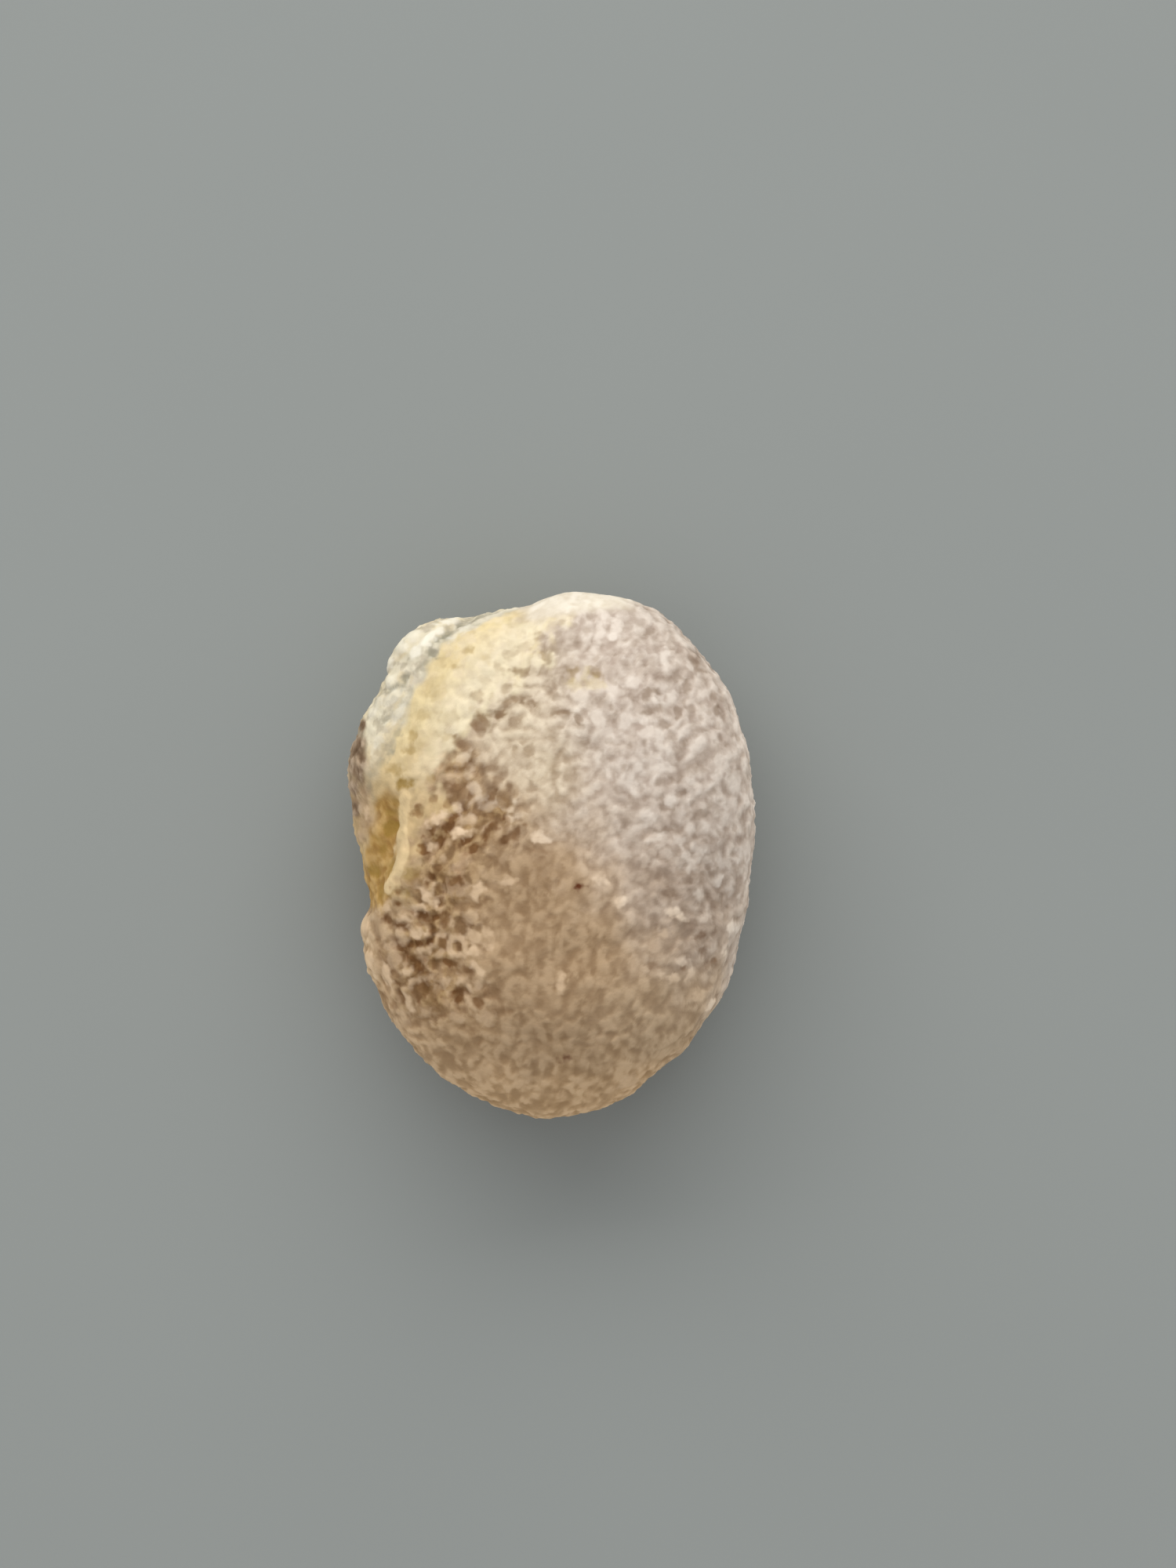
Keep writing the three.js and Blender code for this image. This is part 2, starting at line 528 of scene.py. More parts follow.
FAR_PITS = marks(MarkKind.PIT, [
    (-0.55, 10.3, 0.75, 0.4, -15, 0.6), (-1.8, 9.5, 0.9, 0.42, 25, 0.4), (-1.35, 9.85, 0.5, 0.4, 40, 0.3),
    (-0.3, 9.45, 0.7, 0.6, 0, 0.6), (0.2, 9.9, 0.7, 0.4, -40, 0.35), (-1.1, 8.6, 1.2, 0.46, -3, 0.75),
    (-0.35, 8.65, 0.8, 0.34, -5, 0.4), (-0.95, 7.93, 0.8, 0.26, 5, 0.5), (-0.15, 7.85, 0.5, 0.3, -50, 0.45),
    (0.3, 7.4, 0.6, 0.34, -35, 0.5), (-2.05, 7.85, 0.45, 0.6, -20, 0.55), (-3.4, 7.5, 0.65, 0.5, 60, 0.45),
    (-2.75, 7.45, 0.28, 0.5, 0, 0.4), (-3.1, 8.2, 0.5, 0.5, 0, 0.25), (-2.4, 8.75, 0.6, 0.3, -60, 0.3),
    (-1.6, 7.38, 0.9, 0.44, 8, 0.8), (-0.9, 7.2, 1.1, 0.44, -8, 0.85), (-2.1, 7.1, 0.7, 0.4, 50, 0.75),
    (-2.35, 6.7, 0.7, 0.55, 20, 0.95), (-2.75, 6.65, 0.6, 0.34, 10, 0.6), (-3.2, 6.25, 0.85, 0.85, 0, 0.85),
    (-3.25, 5.7, 0.3, 0.4, 0, 0.5), (-1.65, 6.35, 0.75, 0.6, 20, 0.6), (-1.5, 6.6, 0.5, 0.3, 30, 0.5),
    (-0.85, 6.85, 0.45, 0.36, 0, 0.4), (-2.1, 6.0, 0.6, 0.28, -10, 0.4), (-0.95, 6.05, 0.4, 0.3, 0, 0.3),
    (-1.2, 5.5, 2.0, 0.26, 4, 0.4), (-1.15, 5.38, 0.4, 0.24, 0, 0.5), (-0.3, 6.55, 0.5, 0.34, 40, 0.35),
    (0.55, 6.75, 1.0, 0.42, -3, 0.85), (1.35, 6.4, 0.42, 0.55, 20, 0.65), (1.65, 6.75, 0.3, 0.5, 0, 0.35),
    (0.15, 5.9, 0.7, 0.38, 30, 0.5), (0.6, 8.1, 0.6, 0.5, 0, 0.4), (0.4, 8.7, 0.7, 0.3, -10, 0.3),
    (1.02, 8.6, 0.65, 0.42, 70, 0.3), (2.17, 8.62, 0.85, 0.36, -38, 0.3), (1.05, 9.95, 0.9, 0.3, 10, 0.35),
    (2.3, 7.15, 1.0, 0.3, -28, 0.5), (0.8, 4.5, 0.6, 0.4, 0, 0.45), (1.95, 5.1, 0.8, 0.45, -10, 0.5),
    (0.4, 10.95, 0.3, 0.5, -60, 0.4),
])

RIGHT_PITS = marks(MarkKind.PIT, [
    (4.6, 10.55, 0.5, 0.5, 60, 0.5), (4.43, 7.57, 0.95, 0.4, 30, 0.65), (4.85, 6.8, 1.05, 0.36, 15, 0.65),
    (5.9, 8.4, 0.8, 0.4, 50, 0.5), (6.3, 7.95, 0.6, 0.5, 20, 0.6), (5.95, 6.75, 0.4, 0.7, 0, 0.6),
    (7.65, 7.55, 0.45, 0.45, 0, 0.6), (7.8, 6.85, 0.42, 0.55, 0, 0.6), (6.65, 6.95, 0.45, 0.42, 0, 0.4),
    (5.3, 6.2, 0.7, 0.42, 20, 0.5), (5.65, 5.75, 0.45, 0.4, 0, 0.4), (6.95, 5.95, 0.9, 0.36, -10, 0.45),
    (6.35, 5.45, 0.36, 0.3, 0, 0.7), (7.4, 4.8, 1.3, 0.7, 30, 0.3), (6.6, 4.2, 0.9, 0.34, 10, 0.5),
    (5.2, 3.55, 0.55, 0.5, 0, 0.5), (6.15, 2.95, 0.42, 0.36, 0, 0.7), (5.4, 2.3, 0.6, 0.34, 10, 0.5),
    (3.5, 2.5, 0.5, 0.34, 0, 0.35), (7.1, 1.95, 0.7, 0.36, 30, 0.5), (5.5, 1.3, 1.0, 0.28, 20, 0.55),
    (4.3, 0.95, 0.8, 0.26, 15, 0.4), (7.7, 3.0, 0.5, 0.4, 0, 0.4), (8.1, 0.6, 0.5, 0.36, 60, 0.5),
    (7.5, -0.9, 0.7, 0.36, 40, 0.5), (6.4, -1.1, 0.6, 0.34, -20, 0.45), (5.6, -1.7, 0.7, 0.3, 10, 0.4),
    (7.6, -2.3, 0.6, 0.4, 60, 0.5), (6.6, -3.1, 0.6, 0.34, 20, 0.5),
])

LEFT_PITS = marks(MarkKind.PIT, [
    (-4.1, 5.2, 1.05, 0.55, -40, 0.6), (-3.7, 4.75, 0.9, 0.32, -75, 0.4), (-4.7, 4.4, 0.8, 0.32, 80, 0.5),
    (-4.15, 4.05, 0.95, 0.32, 15, 0.5), (-2.9, 5.05, 0.5, 0.3, 0, 0.4), (-2.9, 4.1, 0.95, 0.34, -10, 0.5),
    (-1.4, 4.5, 0.7, 0.9, 0, 0.2), (-2.5, 3.55, 1.15, 0.4, 50, 0.5), (-1.9, 3.28, 0.36, 0.32, 0, 0.6),
    (-4.42, 3.12, 0.8, 0.42, 25, 0.65), (-4.05, 3.28, 0.9, 0.3, -20, 0.5), (-4.13, 2.92, 0.6, 0.65, 0, 0.4),
    (-3.74, 2.85, 0.4, 0.45, 0, 0.75), (-4.8, 2.5, 0.34, 0.6, 0, 0.6), (-3.4, 2.05, 0.4, 0.9, 10, 0.55),
    (-2.8, 1.9, 0.5, 0.32, 0, 0.6), (-2.15, 2.6, 0.9, 1.0, 0, 0.3), (-1.6, 2.9, 0.45, 0.45, 0, 0.4),
    (-1.2, 2.3, 0.6, 0.34, 20, 0.4), (-0.9, 3.3, 0.4, 0.5, 0, 0.35), (-5.46, 2.69, 0.45, 0.5, 0, 0.6),
    (-6.17, 2.07, 0.55, 0.4, 10, 0.85), (-4.64, 1.39, 2.6, 0.42, 56, 1.1), (-5.56, 1.22, 0.8, 0.32, 60, 0.95),
    (-3.94, 0.75, 1.0, 0.32, 15, 0.95), (-3.57, 0.42, 0.75, 0.36, 20, 1.05),
    (-2.76, 2.65, 1.2, 0.4, 45, 0.85), (-2.76, 1.4, 1.1, 0.38, 50, 0.9), (-1.85, 0.95, 1.5, 0.42, 35, 0.8),
    (-0.6, 0.42, 0.9, 0.32, -5, 0.5), (-5.93, 0.32, 0.62, 0.55, -30, 1.25),
    (-5.56, -0.93, 0.38, 0.36, 0, 0.95), (-5.75, -1.25, 0.32, 0.28, 0, 0.8),
    (-5.25, -0.45, 0.6, 0.3, 25, 0.7), (-5.25, -1.5, 0.36, 0.4, 0, 0.7), (-4.4, -1.25, 0.75, 0.6, 40, 0.85),
    (-7.19, -2.26, 0.4, 0.3, 0, 0.95), (-5.2, -2.23, 0.55, 0.32, 10, 0.9),
    (-6.08, -2.75, 1.1, 0.42, -14, 1.2), (-5.48, -2.88, 0.5, 0.42, 0, 1.15),
    (-7.6, -3.0, 0.85, 0.42, -62, 0.95), (-7.0, -3.25, 1.0, 0.32, -15, 0.9),
    (-4.85, -2.95, 1.2, 0.34, 78, 0.85), (-4.1, -3.15, 1.2, 0.7, 60, 0.6), (-3.9, -2.3, 1.6, 0.45, 15, 0.4),
    (-7.1, -1.6, 0.5, 0.4, 0, 0.7), (-4.75, 3.55, 0.5, 0.36, -30, 0.5), (-5.2, 0.75, 1.1, 0.36, 60, 1.1),
])

LOW_PITS = marks(MarkKind.PIT, [
    (-7.2, -4.22, 0.75, 0.36, -60, 1.3), (-6.27, -4.08, 0.95, 0.36, 25, 1.2),
    (-5.74, -4.0, 0.45, 0.38, 0, 1.15), (-4.98, -4.0, 0.6, 0.9, 0, 0.8), (-5.45, -3.45, 0.55, 0.35, -40, 0.8),
    (-6.5, -4.85, 1.4, 0.38, -36, 1.05), (-6.25, -5.15, 0.55, 0.42, 30, 1.1),
    (-5.4, -5.0, 0.5, 0.4, -30, 0.7), (-4.75, -4.95, 0.95, 0.4, -15, 0.95), (-3.9, -5.3, 0.6, 0.35, -30, 0.7),
    (-6.12, -6.2, 1.25, 0.95, 50, 0.75), (-4.25, -6.25, 0.85, 0.4, 5, 1.0),
    (-4.25, -6.55, 0.4, 0.55, 0, 0.95), (-3.4, -6.8, 0.5, 0.55, 0, 0.8), (-7.07, -6.5, 0.75, 0.3, -62, 0.8),
    (-7.8, -6.05, 0.6, 0.26, -40, 0.6), (-7.35, -7.0, 0.55, 0.26, -35, 0.55),
    (-8.0, -5.0, 0.9, 0.28, -82, 0.6), (-7.15, -5.95, 0.42, 0.34, 0, 0.8), (-8.2, -6.15, 0.6, 0.32, 20, 0.5),
    (-4.6, -5.4, 0.9, 0.5, 0, 0.4), (-3.1, -6.05, 0.6, 0.32, 0, 0.5), (-8.4, -3.2, 0.35, 0.4, 0, 0.35),
    (-8.15, -3.9, 0.32, 0.36, 0, 0.45), (-7.9, -6.75, 0.7, 0.3, -60, 0.5), (-7.0, -4.65, 0.5, 0.34, -30, 0.7),
    (-5.9, -5.5, 0.4, 0.28, 0, 0.7), (6.97, -3.7, 0.42, 0.48, 0, 0.7), (7.12, -4.4, 0.5, 0.48, 0, 0.75),
    (7.5, -4.98, 0.62, 0.3, 35, 0.75), (4.78, -5.05, 0.5, 0.45, 0, 0.5), (6.25, -5.2, 0.32, 0.4, 0, 0.7),
    (-4.8, -7.3, 1.2, 0.28, 15, 0.5), (-2.7, -6.35, 0.9, 0.6, -30, 0.5), (-2.4, -7.1, 1.2, 0.4, 0, 0.4),
    (-5.5, -7.15, 1.6, 0.3, -10, 0.4), (-6.5, -7.9, 0.8, 0.4, 10, 0.35), (-3.65, -8.1, 0.6, 0.4, -30, 0.35),
    (-7.6, -5.1, 0.9, 0.35, -75, 0.6), (-7.3, -5.6, 0.5, 0.4, 0, 0.5), (-5.3, -6.3, 0.8, 0.6, 30, 0.35),
])

FLECKS = marks(MarkKind.FLECK, [
    (-0.7, 9.0, 0.5, 1.1, -20, 0.5), (-0.85, 8.22, 1.2, 0.3, -3, 0.6), (-1.3, 7.75, 1.3, 0.28, 3, 0.6),
    (-2.45, 7.6, 0.9, 0.36, 60, 0.6), (-1.5, 6.95, 0.8, 0.3, 10, 0.5), (-0.35, 6.95, 0.6, 0.3, -30, 0.4),
    (-0.4, 6.3, 1.6, 0.3, 8, 0.5), (-1.5, 5.78, 2.2, 0.28, 4, 0.5), (0.5, 7.25, 0.7, 0.34, 20, 0.4),
    (1.35, 7.5, 0.9, 0.6, 0, 0.6), (-2.9, 5.35, 0.5, 0.6, 0, 0.4), (-4.09, 4.54, 0.85, 0.34, 50, 0.6),
    (-3.14, 4.59, 0.75, 0.55, 0, 0.55), (-3.2, 5.15, 1.1, 0.4, -30, 0.3), (-4.42, 2.23, 0.44, 0.4, 0, 0.9),
    (-4.3, 3.72, 1.0, 0.34, 10, 0.5), (-3.4, 3.15, 1.0, 0.55, -58, 0.6), (-2.85, 2.3, 0.6, 0.5, 0, 0.4),
    (-1.5, 3.55, 1.0, 0.4, -20, 0.4), (-3.95, 1.75, 0.9, 0.4, 20, 0.6), (-5.2, 1.84, 1.25, 0.36, 25, 1.1),
    (-4.13, 1.15, 1.15, 0.42, 8, 1.3), (-5.6, 0.46, 0.42, 0.4, 0, 0.9), (-0.34, 0.81, 0.82, 0.46, -10, 1.1),
    (-3.42, -1.6, 0.8, 0.5, 50, 0.9), (-1.9, -1.2, 0.67, 0.33, -10, 0.8), (-5.65, -2.05, 1.0, 0.42, -50, 1.0),
    (-6.2, -2.38, 0.85, 0.36, 5, 0.9), (-7.7, -2.4, 0.95, 0.4, 45, 0.7), (-6.84, -2.9, 0.8, 0.34, 20, 0.85),
    (-7.17, -3.62, 0.55, 0.48, 0, 0.6), (-6.36, -3.65, 0.8, 0.46, -5, 1.0),
    (-4.64, -3.1, 0.52, 0.26, 90, 0.8), (-3.72, -2.7, 0.75, 0.6, 30, 0.5),
    (-3.65, -3.72, 0.8, 0.46, -35, 0.6), (-3.6, -4.35, 0.55, 0.5, 0, 0.9), (-4.6, -4.5, 0.5, 0.34, -20, 0.9),
    (-7.35, -4.9, 0.7, 0.85, 0, 0.5), (-6.64, -5.45, 0.6, 0.34, 20, 0.85), (-3.37, -5.2, 1.0, 0.4, -45, 0.9),
    (-7.73, -5.7, 1.5, 0.34, -66, 0.9), (-6.7, -6.85, 1.0, 0.34, -70, 0.85), (-4.9, -5.9, 0.9, 0.3, 40, 0.5),
    (2.28, 1.7, 0.8, 0.34, 0, 0.55), (2.28, -1.04, 0.6, 0.4, -5, 1.1), (3.28, -2.14, 0.52, 0.46, 0, 1.05),
    (5.9, -2.64, 0.85, 0.44, -25, 1.2), (5.06, 0.92, 0.85, 0.34, 20, 0.8), (6.25, 0.1, 1.05, 0.24, -62, 0.7),
    (6.85, -0.2, 0.9, 0.24, 50, 0.7), (5.63, 2.69, 0.45, 0.45, 0, 0.8), (3.8, 8.1, 0.9, 0.5, 0, 0.7),
    (4.5, 6.4, 0.6, 0.34, -20, 0.9), (2.2, 6.5, 0.95, 0.55, -50, 0.6), (3.5, 6.5, 0.85, 0.5, 60, 0.6),
    (2.9, 7.7, 0.8, 0.5, 0, 0.6), (2.5, 5.9, 0.7, 0.4, 0, 0.4), (6.85, 5.2, 1.2, 0.4, 45, 0.7),
    (5.1, 4.15, 1.25, 0.42, 0, 0.6), (5.1, 5.65, 0.5, 0.6, 20, 0.6), (4.0, 4.1, 0.9, 0.36, 50, 0.6),
    (7.9, 4.5, 0.34, 0.55, 0, 0.5), (1.7, 3.0, 0.8, 0.46, 10, 0.5), (3.4, 3.4, 0.9, 0.4, -35, 0.6),
    (6.5, 3.5, 0.55, 0.42, 0, 0.6), (4.0, 1.3, 1.2, 0.24, 15, 0.5), (6.5, 1.4, 0.34, 0.34, 0, 0.6),
    (5.6, 7.4, 1.1, 0.36, 60, 0.6), (7.1, 7.6, 0.6, 0.36, 70, 0.5), (6.0, 0.7, 0.7, 0.3, 10, 0.5),
    (8.2, 1.8, 0.7, 0.34, 50, 0.5), (2.9, 10.24, 0.45, 0.5, 0, 1.0), (3.07, 10.8, 0.9, 0.45, 85, 0.8),
    (2.33, 10.5, 0.7, 0.34, 85, 0.7), (1.98, 9.62, 0.65, 0.36, 35, 0.7), (5.4, 9.4, 0.9, 0.38, 82, 0.8),
    (0.5, -5.8, 0.74, 0.41, 85, 0.7), (5.25, -5.52, 0.55, 0.24, -38, 0.85),
    (5.68, -5.66, 0.5, 0.28, 20, 0.85), (6.5, -5.55, 0.75, 0.3, 72, 0.75), (6.13, -4.9, 0.65, 0.34, -8, 0.85),
    (7.0, -6.5, 0.75, 0.36, 15, 0.6), (7.6, -7.0, 0.65, 0.5, 60, 1.3), (7.85, -7.15, 0.6, 0.5, 60, 1.35),
    (8.65, 3.3, 0.9, 0.5, 80, 0.5), (8.5, 2.5, 0.9, 0.5, 70, 0.5), (8.2, -4.5, 0.5, 0.3, 80, 1.1),
    (8.4, -3.3, 0.55, 0.34, 70, 1.1), (8.72, -3.45, 0.5, 0.3, -50, 1.1), (3.7, -10.6, 1.0, 0.6, 10, 0.5),
    (-6.2, -5.78, 1.0, 0.24, 22, 0.6), (-3.85, -6.05, 0.8, 0.3, -40, 0.7), (-3.25, -5.85, 1.0, 0.3, 60, 0.6),
    (-3.75, -6.8, 0.9, 0.28, -60, 0.6), (-5.85, -4.4, 1.0, 0.3, 15, 0.6), (-4.2, -5.8, 0.5, 0.3, 0, 0.7),
    (-5.05, -3.65, 0.55, 0.3, 0, 0.7), (-2.95, -3.45, 0.5, 0.45, 40, 0.6), (-2.8, -4.1, 0.38, 0.3, 0, 0.6),
    (-4.1, -1.65, 1.0, 0.5, 0, 0.4), (-6.45, -6.05, 0.9, 0.26, 50, 0.5), (-5.6, -6.0, 0.7, 0.26, -60, 0.4),
    (-7.55, -4.2, 0.5, 0.4, 30, 0.5), (-6.9, -3.9, 0.5, 0.3, 20, 0.6), (-5.2, -4.55, 0.4, 0.5, 0, 0.5),
    (-4.45, -7.5, 0.6, 0.5, 0, 0.4), (-2.9, -7.5, 0.8, 0.65, 0, 0.4), (-5.85, -7.35, 0.6, 0.5, 0, 0.4),
    (-7.0, -7.6, 0.9, 0.4, -50, 0.4), (7.2, -2.9, 0.6, 0.4, 30, 0.7), (7.9, -1.2, 0.6, 0.35, 70, 0.6),
    (6.9, -1.7, 0.5, 0.3, -30, 0.6), (5.3, -3.6, 0.5, 0.3, 10, 0.5),
])

RINGS = marks(MarkKind.RING, [
    (-4.27, -4.12, 1.3, 1.15, 0, 0.7), (3.7, 0.42, 0.95, 0.85, 0, 0.25),
])

RING_HEARTS = marks(MarkKind.PIT, [
    (-4.3, -4.12, 0.5, 0.46, 0, 0.75), (3.72, 0.44, 0.4, 0.36, 0, 0.3),
])

SPECKS = marks(MarkKind.SPECK, [
    (1.43, -1.29, 0.4, 0.2, 10), (0.65, -9.4, 0.42, 0.2, 5, 0.9),
])

RIND_CELLS = marks(MarkKind.GOLD_CELL, [
    (1.02, 8.6, 0.75, 0.46, 70, 0.85), (2.17, 8.62, 0.9, 0.4, -38, 0.85), (1.58, 7.95, 0.38, 0.42, 0, 0.45),
    (-3.8, 9.6, 0.4, 0.36, 0, 0.75), (-4.45, 8.95, 0.5, 0.26, 0, 0.6), (-5.45, 7.95, 1.2, 0.85, 20, 0.3),
    (-6.0, 6.6, 1.1, 0.55, 20, 0.55), (-4.65, 6.45, 0.9, 0.6, 10, 0.35), (-6.45, 5.62, 0.38, 0.5, 0, 0.8),
    (-6.62, 4.95, 0.6, 0.42, 15, 0.85), (-4.75, 5.6, 0.7, 0.4, -30, 0.6), (-5.6, 3.64, 0.4, 0.4, 0, 0.55),
    (-7.3, 4.1, 0.75, 0.42, -5, 0.85), (-6.95, 3.42, 0.8, 0.42, 8, 1.35), (-7.3, 2.55, 0.65, 0.36, -10, 0.5),
    (-7.5, 2.0, 0.7, 0.34, 10, 1.0), (-7.4, 1.35, 0.85, 0.65, 35, 1.2), (-8.1, 0.75, 0.6, 0.34, -30, 0.7),
    (-7.85, 0.25, 0.6, 0.45, 60, 0.8), (-8.3, -0.75, 0.75, 0.6, 10, 1.1), (-7.45, -0.5, 0.8, 0.42, 80, 1.0),
    (-8.0, -1.6, 0.9, 0.42, 75, 0.8), (-6.45, -0.85, 0.75, 0.6, 60, 0.8), (-6.6, -1.75, 0.5, 0.28, 60, 0.8),
])

RIND_GROOVES = marks(MarkKind.GREY_GROOVE, [
    (-4.45, 10.85, 1.1, 0.26, 27, 1.0), (-5.1, 10.35, 1.1, 0.32, 36, 1.1), (-3.3, 11.35, 1.3, 0.22, 20, 0.8),
    (-6.0, 9.1, 0.9, 0.24, 50, 0.7), (-5.75, 10.0, 0.5, 0.28, 35, 0.7), (-5.55, 9.55, 0.55, 0.42, 20, 1.0),
    (-6.9, 8.3, 0.7, 0.3, 75, 1.0), (-7.6, 7.75, 0.9, 0.2, 25, 0.9), (-7.75, 6.4, 0.5, 0.3, 20, 0.6),
    (-7.25, 5.75, 0.9, 0.26, 70, 0.6), (-7.55, 5.0, 0.8, 0.26, 68, 0.7), (-8.0, 4.3, 0.9, 0.34, 60, 0.4),
    (-8.5, 3.5, 0.9, 0.22, 78, 0.35), (-8.45, 2.85, 0.6, 0.24, -60, 0.25),
])

RIM_STREAKS = marks(MarkKind.WHITE_STREAK, [
    (-4.7, 11.1, 1.4, 0.34, 22, 1.0), (-5.65, 10.4, 1.4, 0.4, 42, 1.1), (-4.3, 10.6, 1.0, 0.24, 28, 0.7),
    (-6.3, 9.65, 0.9, 0.5, 45, 1.0), (-7.4, 7.5, 0.9, 0.5, 30, 0.5), (-7.1, 6.7, 0.9, 0.4, 60, 0.5),
    (-8.05, 5.6, 0.8, 0.4, 75, 0.4),
])

RIM_BEADS = marks(MarkKind.WHITE_BEAD, [
    (-6.45, 10.45, 0.8, 0.6, 30, 0.6), (-7.0, 9.85, 0.7, 0.6, 50, 0.7), (-7.65, 9.0, 0.75, 0.65, 40, 0.8),
    (-7.65, 8.3, 0.6, 0.55, 60, 0.5), (-8.0, 7.3, 0.75, 0.5, 40, 0.6), (-8.45, 6.7, 0.6, 0.5, 60, 0.5),
])

EDGE_BEADS = marks(MarkKind.CRUST_BEAD, [
    (-9.15, 4.45, 0.5, 0.4, 60, 0.3), (-8.65, 2.15, 0.5, 0.4, 80, 0.7), (-8.8, -3.2, 0.5, 1.1, 0, 0.7),
    (-8.55, -4.9, 0.5, 0.9, 0, 0.7), (-7.2, -8.0, 0.8, 0.5, -50, 0.4), (8.5, 7.6, 0.7, 0.5, -50, 0.4),
    (9.2, 5.2, 0.7, 0.5, 80, 0.4), (9.45, 2.9, 0.7, 0.4, 85, 0.5), (9.3, 0.2, 0.8, 0.4, 88, 0.4),
    (8.9, -2.6, 0.7, 0.45, 80, 0.5), (8.1, -6.4, 0.7, 0.5, 65, 0.5), (6.2, -9.1, 0.7, 0.5, 45, 0.4),
])

YELLOW_FLECKS = marks(MarkKind.YELLOW_FLECK, [
    (1.6, 8.55, 0.6, 0.36, 80, 0.5), (1.1, 8.0, 0.8, 0.4, -20, 0.5), (2.1, 8.05, 0.9, 0.6, -10, 0.55),
    (0.1, 10.9, 0.7, 0.6, 0, 0.5),
])

CRUST_PITS = marks(MarkKind.PIT, [
    (-8.88, 6.24, 0.5, 0.34, 80, 0.4), (-9.2, 5.2, 0.6, 0.42, 60, 0.45), (-8.85, 4.8, 0.4, 0.5, 0, 0.5),
    (-9.2, 3.95, 0.75, 0.4, 80, 0.5), (-9.3, 2.6, 0.9, 0.32, 85, 0.45), (-8.9, 3.3, 0.6, 0.3, 80, 0.35),
])

BODY_MARKS = FLECKS + FAR_PITS + RIGHT_PITS + LEFT_PITS + LOW_PITS + RINGS + RING_HEARTS + SPECKS
RIND_MARKS = RIND_CELLS + RIND_GROOVES + RIM_STREAKS + RIM_BEADS
EDGE_MARKS = EDGE_BEADS + YELLOW_FLECKS + CRUST_PITS


@dataclass(frozen=True)
class Shades:
    """The three shades of one region of the skin: in its hollows, between, and on its grains."""

    deep: Colour
    middle: Colour
    high: Colour


class StoneSheet(ShaderSheet):
    """The skin's sheet: its fine patterns, and its colour as one paint is laid over the next."""

    def __init__(self, finish: AgateFinish) -> None:
        """Makes the patterns, and starts with the plain colour.

        Args:
            finish: the stone's colours and sizes.
        """
        super().__init__("agate_skin")
        self.powder = self.cloud(finish.powder_size, 2.0)
        self.frayed = (self.cloud(finish.fray_size, 1.0, (5.0, 2.0, 6.0)) - 0.5) * 1.2
        self.grain = self.step(self.measure("grain") + (self.powder - 0.5) * 0.22, 0.2, 0.8)
        self.colour = self.spread(finish.plain)

    def spread(self, shades: Shades) -> Wire:
        """Spreads three shades over the grain pattern."""
        stops = [(0.0, shades.deep), (0.5, shades.middle), (1.0, shades.high)]
        return self.add("ShaderNodeValToRGB", {"stops": stops}, {"Fac": self.grain})

    def mark(self, name: str) -> Wire:
        """Turns the depth inside one kind of mark into a mask with frayed edges."""
        uneven = self.measure(name + "_strength") * (1.0 + self.frayed * 0.6)
        return self.step(self.measure(name) + self.frayed, 0.1, 0.85) * uneven

    def lay(self, mask: Wire, paint: Wire | Colour | Shades, mode: str = "MIX") -> None:
        """Lays a paint over the colour.

        Args:
            mask: where it lies.
            paint: a colour, or three shades for the grain pattern.
            mode: how it mixes with what is under it.
        """
        if isinstance(paint, Shades):
            paint = self.spread(paint)
        self.colour = self.blend(mask, self.colour, paint, mode)


